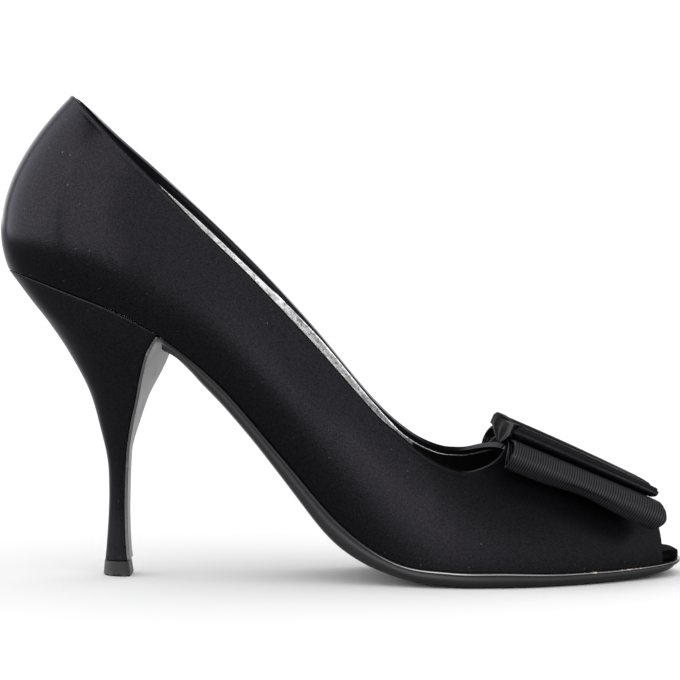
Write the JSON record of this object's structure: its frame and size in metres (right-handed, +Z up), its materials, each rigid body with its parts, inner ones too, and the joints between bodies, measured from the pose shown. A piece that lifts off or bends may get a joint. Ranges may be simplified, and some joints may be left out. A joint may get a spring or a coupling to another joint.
{
  "type": "open-toe pump",
  "caption": "Women's open-toe pump with a tall slim covered heel, a leather sole and a stacked ribbon bow across the vamp; a right shoe.",
  "frame": {"origin": "centre of the shoe's plan on the floor that it stands on", "axes": "+X towards the toe, +Y towards the inner side of the foot, +Z up"},
  "size_m": [0.227, 0.076, 0.1603],
  "materials": {
    "upper_satin": "black satin with a soft sheen",
    "sock_leather": "smooth matt leather",
    "sole_leather": "polished black leather",
    "heel_satin": "black satin pulled over the heel",
    "breast_leather": "smooth glossy leather",
    "tip_plastic": "matt moulded plastic",
    "ribbed_ribbon": "ribbed black ribbon",
    "satin_ribbon": "smooth black ribbon",
    "band_ribbon": "smooth black ribbon"
  },
  "bodies": {
    "root": {"upper": "upper_satin", "insole": "sock_leather", "outsole": "sole_leather", "heel": "heel_satin", "heel_breast_cover": "breast_leather", "heel_top_piece": "tip_plastic", "bow_lower_ribbon": "ribbed_ribbon", "bow_upper_ribbon": "satin_ribbon", "bow_band": "band_ribbon"}
  },
  "joints": []
}
